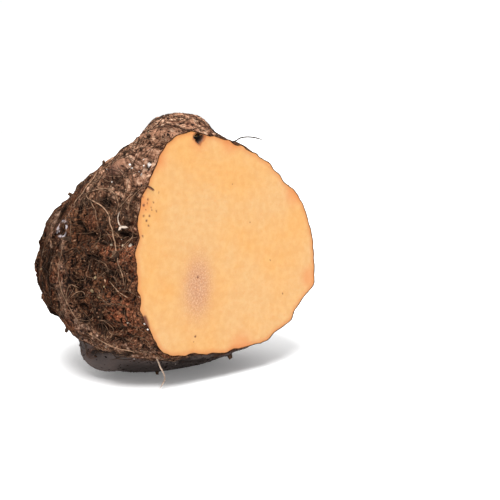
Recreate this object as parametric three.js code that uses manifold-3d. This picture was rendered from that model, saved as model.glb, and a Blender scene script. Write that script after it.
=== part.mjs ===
// Elephant foot yam: one cut corm standing on its root end.
// The corm is one grown solid: a squat, lopsided body, the lobe it stands on, the bud at its crown,
// root stubs on its skin, and one flat knife cut that leaves about three quarters of it.
// Millimetres, +Z up. The origin is the middle of the small flat spot it rests on. The cut faces -Y.
import * as THREE from "three";
import { mergeVertices } from "three/addons/utils/BufferGeometryUtils.js";
import Module from "manifold-3d";

// Driving dimensions of the body
const CUT_Y = -72.5; // the plane of the knife cut
const BODY_CENTRE = new THREE.Vector3(-14, -23.5, 88);
const LEAN_SIDE = 16; // degrees that the crown leans towards -X
const LEAN_FRONT = 22; // degrees that the crown leans towards the cut
// Distance from the body's centre to its skin, every 20 degrees from the crown down to the root end
const BODY_RADII = [115.5, 103.5, 97, 94.5, 98.5, 105, 104, 101.5, 97.5, 93];
// Lobes that run round the crown's axis: how many, how far they swell the skin to the side and to the
// back, and how much of that turns over between the root end and the crown
const LOBES = [
  { count: 1, side: 18.5, sideTurn: -6.5, back: 7, backTurn: -20 },
  { count: 2, side: 3, sideTurn: 1.5, back: -5, backTurn: -2.5 },
  { count: 3, side: 2.5, sideTurn: 1, back: -2.5, backTurn: 4 },
];

// The lobe it stands on and the bud at its crown, each an ellipsoid that melts into the body
const FOOT = { centre: new THREE.Vector3(0, 0, 18), radii: new THREE.Vector3(74, 42, 19), blend: 7 };
const BUD = { centre: new THREE.Vector3(-14, -41.5, 188), radii: new THREE.Vector3(25.5, 25.5, 16), blend: 2 };

// Relief of the skin
const RING_SPACING = 15; // between the ridges that the leaf scars leave round the crown
const RING_HEIGHT = 2.8;
const GIRDLE = { fromCrown: 105, width: 8, height: 3.6 }; // the thickest ring, low on the corm
const LUMP_LENGTHS = [9, 3.4]; // of the swellings all over the skin
const LUMP_HEIGHTS = [2, 1.4];
const WART_COUNT = 46; // buds and root warts
const WART_HEIGHT = [1.2, 5];
const WART_RADIUS = [5, 12];
const PIT_EVERY = 3; // every third wart is a pit
const PIT_DEPTH = [1, 2.8];
const RELIEF_SINK = 2; // so that the relief's tops, not its foot, lie at the body's size
const BUD_RELIEF = 0.35; // share of the relief left on the bud
const RELIEF_FROM_GROUND = [1, 14]; // heights over which the relief begins above the flat spot
// Marks that can be told apart: the places they run through, their width, and how high they stand
const MARKS = [
  {
    path: [[-77, -28, 158], [-88, -4, 132], [-97, 10, 98], [-98, 1, 66], [-87, -31, 44], [-61, -63, 32], [-41, -71, 28]],
    width: 7,
    height: 3.2,
  },
  { path: [[-79, -24, 157], [-86, -19, 148], [-89, -12, 140], [-85, 7, 128]], width: 4.5, height: -2.8 },
  { path: [[-93, -24, 115], [-92, -39, 117], [-86, -57, 121], [-79, -72, 116]], width: 5, height: -4 },
  { path: [[-93, -28, 59], [-88, -41, 52], [-81, -53, 47], [-73, -63, 43]], width: 5, height: -2.6 },
  { path: [[-84, -47, 140]], width: 7, height: -3.4 },
  { path: [[-72, -44, 164]], width: 9, height: 3 },
  { path: [[-93, -1, 118]], width: 6, height: -2 },
  { path: [[-64, -40, 175]], width: 5, height: -2.5 },
  { path: [[-40, 70, 130], [-5, 88, 118], [35, 86, 104], [70, 62, 96]], width: 8, height: 3.4 },
  { path: [[-20, 78, 60], [15, 90, 66], [50, 76, 60]], width: 6, height: -3.4 },
  { path: [[88, -30, 140], [94, 0, 128], [84, 35, 120]], width: 7, height: -3 },
  { path: [[60, 20, 165]], width: 15, height: 3.5 },
];

// Root stubs, spread over the skin
const STUB_COUNT = 18;
const STUB_LENGTH = [2, 5];
const STUB_RADIUS = [1.3, 2.4];
const STUB_SIDES = 6;
const STUB_SINK = 4; // how deep a stub's base sits in the corm
const STUB_FROM_BUD = 12; // the bud and its collar carry none

// The rot hole that the knife opened under the bud, and the block that the flat spot is cut with
const HOLE = { centre: new THREE.Vector3(-19, CUT_Y, 187.5), radii: new THREE.Vector3(3.4, 8, 4) };
const GROUND_SIZE = 400;

// Fineness of the mesh
const RING_COUNT = 36; // rings of triangles from the back of the corm to the rim of the cut
const MARCH_FAR = 185; // further out than any of the skin
const MARCH_SHARE = 0.6; // of the gap to the skin that each step inwards covers
const MARCH_LEAST = 0.01;
const LEAST_DEPTH = 0.06; // keeps warts and stubs off the rim of the cut
const SEED = 7;

const RAY_CENTRE = new THREE.Vector3(2, CUT_Y, 95);
const CROWN_AXIS = new THREE.Vector3(
  -Math.sin(THREE.MathUtils.degToRad(LEAN_SIDE)),
  -Math.sin(THREE.MathUtils.degToRad(LEAN_FRONT)),
  Math.cos(THREE.MathUtils.degToRad(LEAN_SIDE)),
).normalize();
const SIDE_AXIS = new THREE.Vector3(0, 1, 0).cross(CROWN_AXIS).normalize();
const BACK_AXIS = new THREE.Vector3().crossVectors(CROWN_AXIS, SIDE_AXIS);

function randomSource(seed) {
  let state = seed;
  return () => {
    state = (Math.imul(state, 1664525) + 1013904223) >>> 0;
    return state / 2 ** 32;
  };
}

const between = ([low, high], share) => low + (high - low) * share;

// A smooth curve through evenly spaced values, level at both ends
function curveThrough(values, place) {
  const last = values.length - 1;
  const t = THREE.MathUtils.clamp(place, 0, 1) * last;
  const i = Math.min(Math.floor(t), last - 1);
  const f = t - i;
  const before = values[Math.abs(i - 1)];
  const after = values[i + 2 > last ? 2 * last - i - 2 : i + 2];
  const a = values[i];
  const b = values[i + 1];
  const bend = 2 * before - 5 * a + 4 * b - after;
  const twist = 3 * a - before - 3 * b + after;
  return a + 0.5 * f * (b - before + f * (bend + f * twist));
}

// Where a point lies round the crown's axis: distance from the body's centre, angle from the crown,
// and angle round the axis
function crownPlace(point) {
  const q = point.clone().sub(BODY_CENTRE);
  const distance = q.length();
  const fromCrown = Math.acos(THREE.MathUtils.clamp(q.dot(CROWN_AXIS) / distance, -1, 1));
  const round = Math.atan2(q.dot(BACK_AXIS), q.dot(SIDE_AXIS));
  return { distance, fromCrown, round };
}

function bodyDistance(point) {
  const { distance, fromCrown, round } = crownPlace(point);
  const height = Math.cos(fromCrown);
  let radius = curveThrough(BODY_RADII, fromCrown / Math.PI);
  for (const lobe of LOBES) {
    const swell =
      (lobe.side + lobe.sideTurn * height) * Math.cos(lobe.count * round) +
      (lobe.back + lobe.backTurn * height) * Math.sin(lobe.count * round);
    radius += swell * Math.sin(fromCrown) ** lobe.count;
  }
  return distance - radius;
}

function ellipsoidDistance(point, { centre, radii }) {
  const q = point.clone().sub(centre).divide(radii);
  const near = q.length();
  return (near * (near - 1)) / q.divide(radii).length();
}

function smoothUnion(a, b, blend) {
  const share = THREE.MathUtils.clamp(0.5 + (0.5 * (b - a)) / blend, 0, 1);
  return b + (a - b) * share - blend * share * (1 - share);
}

function smoothDistance(point) {
  const standing = smoothUnion(bodyDistance(point), ellipsoidDistance(point, FOOT), FOOT.blend);
  return smoothUnion(standing, ellipsoidDistance(point, BUD), BUD.blend);
}

// Distance from the ray centre out to the smooth skin, marching in from outside
function reach(direction) {
  const point = new THREE.Vector3();
  let distance = MARCH_FAR;
  let gap = Infinity;
  while (gap > 0 && distance > 0) {
    gap = smoothDistance(point.copy(RAY_CENTRE).addScaledVector(direction, distance));
    distance -= Math.max(MARCH_SHARE * gap, MARCH_LEAST);
  }
  return distance;
}

// Evenly spread directions over the half of space behind the cut, with a little jitter
function spreadDirection(index, count, random) {
  const depth = LEAST_DEPTH + ((1 - LEAST_DEPTH) * (index + random())) / count;
  const turn = index * Math.PI * (3 - Math.sqrt(5)) + 0.8 * random();
  const flat = Math.sqrt(1 - depth * depth);
  return new THREE.Vector3(flat * Math.cos(turn), depth, flat * Math.sin(turn));
}

function makeWarts() {
  const random = randomSource(SEED);
  const warts = [];
  for (let i = 0; i < WART_COUNT; i++) {
    const direction = spreadDirection(i, WART_COUNT, random);
    const size = random();
    const radius = between(WART_RADIUS, random());
    const height = i % PIT_EVERY ? between(WART_HEIGHT, size * size) : -between(PIT_DEPTH, size);
    warts.push({ at: RAY_CENTRE.clone().addScaledVector(direction, reach(direction)), radius, height });
  }
  return warts;
}

const WARTS = makeWarts();

function distanceToPath(point, path) {
  const places = path.map((place) => new THREE.Vector3(...place));
  let nearest = point.distanceTo(places[0]);
  for (let i = 1; i < places.length; i++) {
    const onPath = new THREE.Line3(places[i - 1], places[i]).closestPointToPoint(point, true, new THREE.Vector3());
    nearest = Math.min(nearest, point.distanceTo(onPath));
  }
  return nearest;
}

const bump = (share) => Math.exp(-share * share);

// Broken ridges round the crown, with the girdle as the thickest
function ringLift(point) {
  const { fromCrown, round } = crownPlace(point);
  const wobble = 0.35 * Math.sin(3 * round + 1) + 0.22 * Math.sin(7 * round + 2 * fromCrown);
  const turn = 2 * Math.PI * ((fromCrown * BODY_RADII[4]) / RING_SPACING + wobble);
  const ridge = (0.5 + 0.5 * Math.cos(turn + 0.6 * Math.sin(turn))) ** 2;
  const fade = 0.5 + 0.5 * Math.sin(2 * round + 5 * fromCrown);
  const belowGirdle = fromCrown - THREE.MathUtils.degToRad(GIRDLE.fromCrown + 2 * wobble);
  const girdle = GIRDLE.height * bump((belowGirdle * BODY_RADII[5]) / GIRDLE.width);
  return RING_HEIGHT * fade * ridge + girdle;
}

function lumpLift(point) {
  let lift = 0;
  LUMP_LENGTHS.forEach((length, i) => {
    const { x, y, z } = point.clone().divideScalar(length);
    const along = Math.sin(x + 1.3 + Math.sin(0.6 * z)) * Math.sin(0.9 * y + 0.4) * Math.sin(0.8 * z + 2.1);
    const across = Math.sin(1.7 * x - 0.9 * z + i) * Math.sin(1.3 * y + 1.1 * z + 0.7);
    lift += LUMP_HEIGHTS[i] * (along + 0.5 * across);
  });
  return lift;
}

// How far the skin's relief lifts a point of the smooth skin
function relief(point) {
  let lift = ringLift(point) + lumpLift(point) - RELIEF_SINK;
  for (const wart of WARTS) {
    const share = point.distanceTo(wart.at) / wart.radius;
    if (share < 3) lift += wart.height * bump(share);
  }
  for (const { path, width, height } of MARKS) lift += height * bump(distanceToPath(point, path) / width);
  const offBud = THREE.MathUtils.smoothstep(ellipsoidDistance(point, BUD), 0, 6);
  lift *= THREE.MathUtils.lerp(BUD_RELIEF, 1, offBud);
  return lift * THREE.MathUtils.smoothstep(point.z, ...RELIEF_FROM_GROUND);
}

function skinPoint(direction) {
  const smooth = RAY_CENTRE.clone().addScaledVector(direction, reach(direction));
  return smooth.clone().addScaledVector(direction, relief(smooth));
}

// The body as one closed mesh: rings of six points more each, from the back point to the rim of the
// cut, then a fan across the cut
function bodyGeometry() {
  const points = [skinPoint(new THREE.Vector3(0, 1, 0))];
  const ringStart = (k) => (k ? 1 + 3 * k * (k - 1) : 0);
  const triangles = [];
  for (let k = 1; k <= RING_COUNT; k++) {
    const depth = (Math.PI / 2) * (1 - k / RING_COUNT);
    const inner = Math.max(1, 6 * (k - 1));
    for (let i = 0; i < 6 * k; i++) {
      const turn = (2 * Math.PI * i) / (6 * k);
      const flat = Math.cos(depth);
      const direction = new THREE.Vector3(flat * Math.cos(turn), Math.sin(depth), flat * Math.sin(turn));
      if (k === RING_COUNT) direction.y = 0;
      points.push(skinPoint(direction));
      const sector = Math.floor(i / k);
      const step = i % k;
      const a = ringStart(k) + i;
      const b = ringStart(k) + ((i + 1) % (6 * k));
      const c = ringStart(k - 1) + ((sector * (k - 1) + step) % inner);
      triangles.push(a, c, b);
      if (step < k - 1) triangles.push(b, c, ringStart(k - 1) + ((sector * (k - 1) + step + 1) % inner));
    }
  }
  const middle = points.length;
  points.push(RAY_CENTRE);
  const rim = ringStart(RING_COUNT);
  const rimCount = 6 * RING_COUNT;
  for (let i = 0; i < rimCount; i++) triangles.push(rim + i, rim + ((i + 1) % rimCount), middle);
  const geometry = new THREE.BufferGeometry().setFromPoints(points);
  geometry.setIndex(triangles);
  return geometry;
}

// A root stub: a short tapering peg that stands out of the skin and leans down a little
function stubGeometry(root, random) {
  const length = between(STUB_LENGTH, random());
  const radius = between(STUB_RADIUS, random());
  const growth = root.clone().sub(BODY_CENTRE).normalize();
  growth.z -= 0.3 * random();
  growth.normalize();
  const peg = new THREE.CylinderGeometry(0.55 * radius, radius, length + STUB_SINK, STUB_SIDES);
  peg.translate(0, (length - STUB_SINK) / 2, 0);
  peg.applyQuaternion(new THREE.Quaternion().setFromUnitVectors(new THREE.Vector3(0, 1, 0), growth));
  return peg.translate(root.x, root.y, root.z);
}

const wasm = await Module();
wasm.setup();

function solidFrom(geometry) {
  const bare = geometry.clone().deleteAttribute("normal").deleteAttribute("uv");
  const merged = mergeVertices(bare, 1e-4);
  const vertProperties = merged.attributes.position.array;
  return new wasm.Manifold(new wasm.Mesh({ numProp: 3, vertProperties, triVerts: merged.index.array }));
}

function geometryFrom(solid) {
  const { vertProperties, triVerts } = solid.getMesh();
  const geometry = new THREE.BufferGeometry();
  geometry.setAttribute("position", new THREE.BufferAttribute(vertProperties, 3));
  geometry.setIndex(new THREE.BufferAttribute(triVerts, 1));
  geometry.computeVertexNormals();
  return geometry;
}

function cormSolid() {
  let corm = solidFrom(bodyGeometry());
  const random = randomSource(SEED + 1);
  for (let i = 0; i < STUB_COUNT; i++) {
    const root = skinPoint(spreadDirection(i, STUB_COUNT, random));
    if (ellipsoidDistance(root, BUD) > STUB_FROM_BUD) corm = corm.add(solidFrom(stubGeometry(root, random)));
  }
  const hole = new THREE.SphereGeometry(1, 14, 10);
  hole.scale(...HOLE.radii).translate(...HOLE.centre);
  const ground = new THREE.BoxGeometry(GROUND_SIZE, GROUND_SIZE, GROUND_SIZE).translate(0, 0, -GROUND_SIZE / 2);
  return corm.subtract(solidFrom(hole)).subtract(solidFrom(ground));
}

const bark = new THREE.MeshStandardMaterial({ color: 0x4a3328, roughness: 0.9, metalness: 0 });

const corm = new THREE.Mesh(geometryFrom(cormSolid()), bark);
corm.name = "corm";

const elephantFootYam = new THREE.Group();
elephantFootYam.add(corm);

export default elephantFootYam;
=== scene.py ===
"""A cut elephant foot yam, dressed round its packed corm.

The shapes are worked out in millimetres, in the row's frame: +Z up, and the flat cut faces -Y.
"""

import math

import bpy
import numpy as np
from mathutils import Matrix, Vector
from mathutils.bvhtree import BVHTree


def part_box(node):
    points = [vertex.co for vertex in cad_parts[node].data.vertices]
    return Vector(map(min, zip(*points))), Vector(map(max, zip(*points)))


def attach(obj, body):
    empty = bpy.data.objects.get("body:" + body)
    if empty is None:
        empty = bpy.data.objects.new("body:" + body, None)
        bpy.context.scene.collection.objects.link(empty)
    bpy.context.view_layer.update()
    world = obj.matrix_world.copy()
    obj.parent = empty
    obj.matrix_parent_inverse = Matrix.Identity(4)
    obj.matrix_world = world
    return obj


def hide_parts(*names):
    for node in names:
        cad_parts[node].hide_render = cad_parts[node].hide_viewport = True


MM = 0.001  # metres in a millimetre

# Camera, from the photograph: where it looks from and at, and its lens
CAMERA_AZIMUTH = -43.4
CAMERA_ELEVATION = 7.8
CAMERA_DISTANCE = 850
CAMERA_TARGET = (50.8, -50.4, 94.3)
CAMERA_LENS = 76.5

# The corm's own axes, which its growth rings lie round
BODY_CENTRE = np.array([-14.0, -23.5, 88.0])
LEAN_SIDE = 16
LEAN_FRONT = 22
BODY_RADIUS = 100
BUD_CENTRE = np.array([-14.0, -41.5, 188.0])
BUD_RADII = np.array([25.5, 25.5, 16.0])

# Fineness of the skin and of the cut face: rings of points from the back point, or the middle, to the rim
SKIN_RINGS = 174
FACE_RINGS = 110
INNER_RINGS = 30
RAY_FROM = (2, 95)  # x and z of the point that the rings are seen from
RAY_BEHIND_CUT = 1
SMOOTH_ROUNDS = 24

# The bark: how thick it is at the left and at the right of the cut, and over the flesh
BARK_AT_CUT = (0.45, 0.3)
BARK_THICKNESS = 4
FLESH_GAP = 0.4
FLESH_UNDER_BARK = 0.25
RELIEF_AT_CUT = 0.15  # share of the fine relief that is left at the rim of the cut
CUT_FADE = 12
BEHIND_RIM = 32  # how far behind the right of the cut the bark lies low

# The bud's edge and the crease round it, in shares of the bud's radii
BUD_EDGE = (1.05, 1.3)
CREASE = (1.18, 0.07)  # its place and half-width
UPPER = (0.95, 0.35)  # angles from the crown, in radians, between which the skin turns smooth
INSIDE_DARK = 0.3  # how dark the bark is inside

# Marks on the bark
OUTER_RIDGE = [
    (-84, -19, 148), (-88, -9, 136.5), (-91, -3, 126), (-96, -4.6, 107), (-98, -5, 90.5), (-98, -3, 78),
    (-97, -9, 61), (-93, -21, 47), (-86.5, -38.5, 38.4), (-76, -52.5, 34), (-60, -63.6, 31),
]


def mark(path, width, lift=0, **shares):
    """A path with its half-width, how far it lifts the bark, and how pale, dark, rusty and so on it is."""
    return {"path": path, "width": width, "lift": lift, **shares}


MARKS = [
    # Light bands: the outer ridge, the streak above it, the shoulder round the bud, and the ledge
    mark(OUTER_RIDGE[4:8], 5, 1.2, pale=0.5),
    mark(OUTER_RIDGE[7:], 6, 1.2, pale=0.65),
    # The streak above it is pale, partly with a painted sheen
    mark([(-70, -15, 159.5)] + OUTER_RIDGE[:4], 3.2, 0.6, pale=0.6),
    mark([(-42, -28, 184.5), (-48.4, -41.5, 186.8), (-48.2, -49.5, 189.1), (-46.8, -59.4, 190),
        (-45, -66.9, 188.6), (-40.7, -70.5, 188.6)], 3, 1.2, pale=0.5, blush=0.75),
    mark([(-85, 6, 37), (-80, -4, 34), (-76, -20, 32), (-70, -34, 29), (-58, -46, 26), (-42, -62, 25),
        (-30, -65, 23)], 4, 1.6, pale=0.95),
    mark([(-65, -57, 172), (-70.6, -52.4, 167), (-66.6, -62.3, 165)], 9, 0.3, pale=0.55),
    mark([(-60, -58, 177), (-64, -62, 173)], 6, blush=0.2),
    mark([(-68.2, -70, 155.6)], 4, pale=0.5),
    mark([(-96, 10, 105)], 4, pale=0.5),
    mark([(-71, 28, 132), (-74, 33, 126.5), (-78, 33, 121.4), (-82.6, 29.4, 112.8)], 6, pale=0.55),
    # Grooves and hollows, with painted shade in them
    mark([(-69.5, -3, 154), (-70.5, 7, 147), (-71.5, 14, 140), (-74, 20, 133)], 4.4, -1.8, dark=0.9),
    mark([(-83, -57, 121), (-79.6, -61, 119), (-77.5, -70, 117.4)], 2.1, -2.4, dark=1),
    mark([(-86.6, -35.5, 113), (-86.8, -46.7, 112), (-85, -54, 113)], 3, -1.8, dark=0.9),
    mark([(-88.8, -23.8, 118.6), (-87, -32.6, 116.3)], 3.2, -1.6, dark=0.95),
    mark([(-82.2, -58.3, 114), (-78.2, -68, 113)], 1.8, -1, dark=0.4),
    mark([(-87.5, -35, 50), (-85.6, -39.3, 48.8)], 3, -1.2, dark=0.65),
    mark([(-79.8, -40.3, 139.5)], 6, -3, dark=1),
    mark([(-39, -27, 188.5), (-42.5, -34.6, 189.3), (-43.8, -43.5, 191.8), (-44.6, -55.6, 193),
        (-43, -61.8, 193), (-39.5, -66, 192.5)], 1.6, -1.8, dark=0.75),
    mark([(-58.9, -31.9, 173.9)], 3.2, -2, dark=1),
    # Darker places: dark patches of the bark, and low down painted shade and a painted shadow
    mark([(-49.3, -65.9, 185.2)], 4, dark=0.6),
    mark([(-61.2, -66.9, 169.2), (-64, -66, 165)], 1.8, -0.8, dark=0.9),
    mark([(-74.3, -65, 148.6), (-76.4, -67, 143.3), (-77.2, -64, 137.4)], 5, -0.6, dark=0.75),
    mark([(-78.5, -57, 139), (-81, -62, 132.6), (-80.3, -64.3, 128), (-79, -68, 133)],
        5, -0.4, dark=0.65),
    mark([(-90, -19, 117.6), (-91, -26, 111.7)], 6.5, -0.6, dark=0.65),
    mark([(-89, 4, 118)], 3.5, -0.6, dark=0.85),
    mark([(-90, -36, 97), (-92, -36, 90)], 7, -0.4, dark=0.25),
    mark([(-91, -47.6, 94.4), (-89, -54, 91)], 6, -0.5, dark=0.8),
    mark([(-81.2, -65.4, 76)], 4, -0.4, dark=0.6),
    mark([(-84.4, 38.7, 93.4), (-85.5, 40, 84), (-88.3, 33.3, 75.7), (-88.9, 26, 64), (-83, 31, 53)],
        13, dark=0.85),
    mark([(-96, 15, 96), (-97, 14, 90), (-96, 14, 78), (-95, 13, 68)], 8, -1, dark=0.95),
    mark([(-78.4, -41.2, 155.3), (-77, -50, 157.5)], 5, -0.8, dark=0.75),
    mark([(-86.6, -36.1, 132.5), (-84.8, -43.2, 127.2)], 6, -0.4, dark=0.5),
    mark([(-94.4, -11.1, 104.7)], 5, dark=0.5),
    mark([(-98.7, -7, 73.5)], 4, dark=0.5),
    mark([(-90, 30, 90), (-93, 23, 84), (-94, 16, 92)], 7, -0.5, dark=0.97),
    mark([(-6, -62, 194.5), (-9.3, -60, 196.7)], 7, dark=0.3),
    mark([(-43, -44.2, 194), (-39, -40, 196)], 5, dark=0.45),
    # Painted shade under the overhang, then a painted cast shadow along the bottom at the front
    mark([(-51.4, -25.4, 12.1), (-39.1, -34.3, 11.7), (-25, -45, 10), (0, -50, 8)], 10, dark=0.45),
    mark([(-76, -2, 22), (-71, -18, 20), (-60, -36, 17), (-44, -52, 14), (-25, -60, 13)],
        5, -0.8, dark=0.1),
    mark([(-40, -63, 19), (-20, -56, 13), (5, -58, 10)], 8, dark=0.9),
    # The smooth plum-coloured swelling, and its top made lighter with painted light
    mark([(-73.5, -43, 164.5)], 9, 2.4, plum=1),
    mark([(-70, -36, 169), (-72, -47, 168.8)], 5.5, blush=0.6),
    # Rusty places
    mark([(-86.5, -52, 107), (-84, -60, 103), (-80, -66, 107)], 7, 0.6, rust=0.85),
    mark([(-83, -57, 68), (-79, -60, 55)], 10, 1.6, rust=0.75),
    mark([(-74, 0, 152), (-78, 12, 141), (-72, 26, 137)], 5, rust=0.8),
    mark([(-88, -32, 128)], 8, 0.6, rust=0.4),
    mark([(-53, -69, 30), (-46, -66, 26), (-41, -66, 24)], 5, 1, rust=0.9),
    # The smooth upper left, the foot in a dull grey painted shade, and where the outline swells or shrinks
    mark([(-51, -20, 174), (-61, -13, 167), (-70, -6, 159), (-74, 10, 146), (-76, 24, 131),
        (-80, 32, 118)], 13, calm=0.9),
    mark([(-80, -4, 30), (-72, 5, 27), (-62, 14, 24)], 8, 0.6, under=1),
    mark([(-70, -6, 159), (-61, -13, 167), (-51, -20, 174)], 12, 1.4),
    mark([(-74, 27, 132), (-79, 24, 130), (-79, 12, 140)], 11, -2.6),
    mark([(-76, 42, 117), (-76, 48, 110)], 13, 3.6),
    mark([(-71, 29, 132), (-78, 29, 125), (-81, 31, 118)], 10, -1.8),
    mark([(-85, 43, 80), (-88, 36, 70)], 12, -5),
    mark([(-81, 58, 74), (-81.5, 52, 66)], 10.5, -3),
    mark([(-84, 31, 54)], 9, 1.5),
    mark([(-79.6, 18, 40), (-64.5, 42.5, 33)], 8, -2.4),
    mark([(-66, 14, 24), (-71, 0, 21), (-72, -5, 18)], 9, 2),
    mark([(-67, -2, 11), (-63, -14, 9)], 8, 2.5),
    mark([(-40, -30, 187), (-42, -45, 190), (-38, -58, 190)], 9, 3.2),
]
SCAR_RING = [
    (-92.2, -4.8, 120.2), (-92, -3.5, 123.5), (-86, 6, 124), (-83.4, 13.5, 122), (-85.4, 14, 119.4),
    (-87, 14, 116), (-89.3, 10, 113.1), (-92.6, 3, 112), (-92.6, 0, 113.3), (-92, -2.5, 116.5),
    (-92.2, -4.8, 120.2),
]
SCAR_WIDTH = 1.9
UNDERSIDE = (14, 27)  # heights between which the painted shade of the dull grey underside gives way to the bark

# The rot hole in the cut face: x and z of its middle, half-widths, and depth
HOLE_AT = (-20.9, 186.0)
HOLE_SIZE = (5.2, 4.8)
HOLE_DEPTH = 6
HOLE_POWER = 1.3  # 2 would make it an oval, and 1 a diamond
HOLE_GAP = (98.5, 107.5)  # where the solid's own hole breaks its rim, in degrees round the cut
HOLE_GAP_RINGS = 18
# Dark specks in the flesh: x, z and radius
SPECKS = [
    (-73.1, 145.8, 0.7), (-68.7, 143.5, 0.8), (-69.2, 140.8, 0.6), (-58.9, 147.8, 0.5),
    (-63.7, 141.2, 0.6), (-72.3, 139.7, 1.0), (-61.2, 134.8, 0.6), (-65.2, 135.8, 0.6), (-70, 128.6, 0.8),
    (-72.5, 132.2, 0.8), (-67.3, 131.8, 0.7), (-73.6, 118, 0.7), (-68.3, 125.1, 0.6), (-66, 138, 0.5),
    (-70.5, 136.5, 0.5), (-23, 83.2, 0.9), (-25.8, 38.8, 0.9), (-27.5, 35, 0.4), (30, 120, 0.5),
    (52, 88, 0.6), (12, 150, 0.4), (66, 60, 0.6),
]
# The pinkish patch in the flesh: x and z of its middle, and half-widths
BRUISE_AT = (-23, 76)
BRUISE_SIZE = (15, 26)
# Cracks at the rim: half-width, and x and z along the path
CRACKS = [
    (0.8, [(-72, 153.2), (-67.6, 152.2), (-63.7, 149.9)]),
    (2, [(-72.8, 59), (-71.6, 56), (-70.8, 53), (-70.4, 50.5)]),
]
# Orange stains beside the rim: x and z of the middle, and radius
STAINS = [
    (-57.5, 170.7, 7), (9.3, 181.8, 9), (-21, 184, 8), (-72, 140, 6), (78, 140, 10), (96, 70, 9),
    (20, 24, 12),
]

# Root stubs: the solid's own, by the rule that placed them, and finer ones
SOLID_STUBS = 18
STUB_SEED = 8
STUB_LENGTH = (2, 5)
STUB_RADIUS = (1.3, 2.4)
STUB_LEAST_DEPTH = 0.06
STUB_FROM_BUD = 1.5
FINE_STUBS = 46
SHOWN_STUBS = [(np.array([-62.7, -13.6, 165]), 3.2, 1.2)]  # place, length and radius

# Rootlets that stand out, on the skin and free of it: radius, tone from dark to pale, and path
ROOTLETS = [
    (0.45, 0.72, [(-87, -26, 142.7), (-85.6, -33.7, 139.8), (-83, -38.6, 136.8), (-81.7, -43.8, 132),
        (-84.5, -50, 127), (-84.1, -52.4, 121.4), (-84.6, -53.9, 115.9), (-84.9, -54.8, 112.4),
        (-85.4, -57.4, 107), (-86, -61, 99.8), (-84.2, -61.5, 91.5), (-83.9, -63.9, 83.3)]),
    (0.38, 0.7, [(-84.2, -19.4, 144.3), (-83.6, -29.8, 148.5), (-81.4, -39.1, 150),
        (-79.2, -45.7, 148.4), (-78.3, -50.3, 143.7), (-78.4, -52, 136.7)]),
    (0.5, 0.92, [(-80.5, -55.7, 134.2), (-82.7, -56.4, 128.8), (-83.2, -58.9, 125.9),
        (-82.6, -60.2, 124.3)]),
    (0.95, 1.0, [(-83, -58, 122.4), (-82.8, -59.6, 124), (-81.8, -62, 124.6), (-80.5, -64.2, 124.5)]),
    (0.7, 1.0, [(-82.6, -60.2, 124.3), (-83, -58, 122.6), (-83, -57.2, 121.4)]),
    (0.3, 0.65, [(-78.4, -52, 136.7), (-78.1, -58.3, 142.1), (-75.8, -61.8, 146.4)]),
    (0.35, 0.7, [(-88.2, -52.6, 85.3), (-83.9, -58.5, 79), (-80.7, -63.5, 73.5)]),
    (0.45, 0.68, [(-70.1, -14.9, 159.5), (-76, -16, 154), (-83.7, -18.7, 147.8), (-86, -13.5, 142),
        (-87.7, -8.9, 136.5)]),
    (0.3, 0.6, [(-86, -20, 146), (-84.5, -27, 141), (-86, -34, 134), (-85.5, -36, 127)]),
    (0.3, 0.6, [(-97.5, -6, 104), (-98.6, -3, 92), (-98.2, -5, 78), (-97, -12, 62), (-93, -24, 48)]),
    (0.35, 0.7, [(-90, -29, 44), (-84, -42, 38), (-75, -53, 34.5), (-62, -62.5, 31.5)]),
]
FREE_ROOTLETS = [
    (0.6, 0.9, [(-54, -52, 28), (-51, -57, 24.4), (-48.2, -58.5, 16.7), (-46.1, -60, 11.4),
        (-46.5, -61, 7.1), (-50.8, -61, 1.8)]),
    (0.55, 0.12, [(14, -58, 179), (25.9, -60, 181.9), (31, -60, 184), (38.5, -60, 184.7), (47, -60, 184),
        (55.8, -60, 182)]),
    (0.5, 0.05, [(-1.5, -58, 194), (1.8, -58, 193.2), (4.2, -58, 191.3), (7.6, -58, 188.8),
        (10.6, -58, 184.8)]),
    (0.16, 1.0, [(-76, -18, 158), (-82, -20, 161), (-88, -20, 161.5), (-92, -20, 161.4)]),
    (0.34, 0.1, [(-76, -72, 153), (-72, -74, 153.3), (-67.6, -74.2, 152.2), (-63.7, -73.6, 149.9)]),
]
SHOWN_HEIGHT = 0.4  # how far they lie off the skin
SHOWN_WOBBLE = 0.6  # how far their points stray from the path, from end to end
# Rootlets that crawl over the skin: how many, their steps, wander, radii and tones
LONG_ROOTLETS = (16, 30, 0.07, (0.2, 0.35), (0.1, 0.5))
MAT_ROOTLETS = (850, 12, 0.13, (0.14, 0.3), (0.1, 0.65))
MAT_PIECES = 2
CRAWL_STEP = 2.2
BARE_BELOW = 17  # the underside has none
TUBE_SIDES = 5

# Scurf: flakes of loose bark, and pale bits, some where the photograph shows them
FLAKE_COUNT = 6000
FLAKE_SIZE = (0.4, 1.2)
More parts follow.
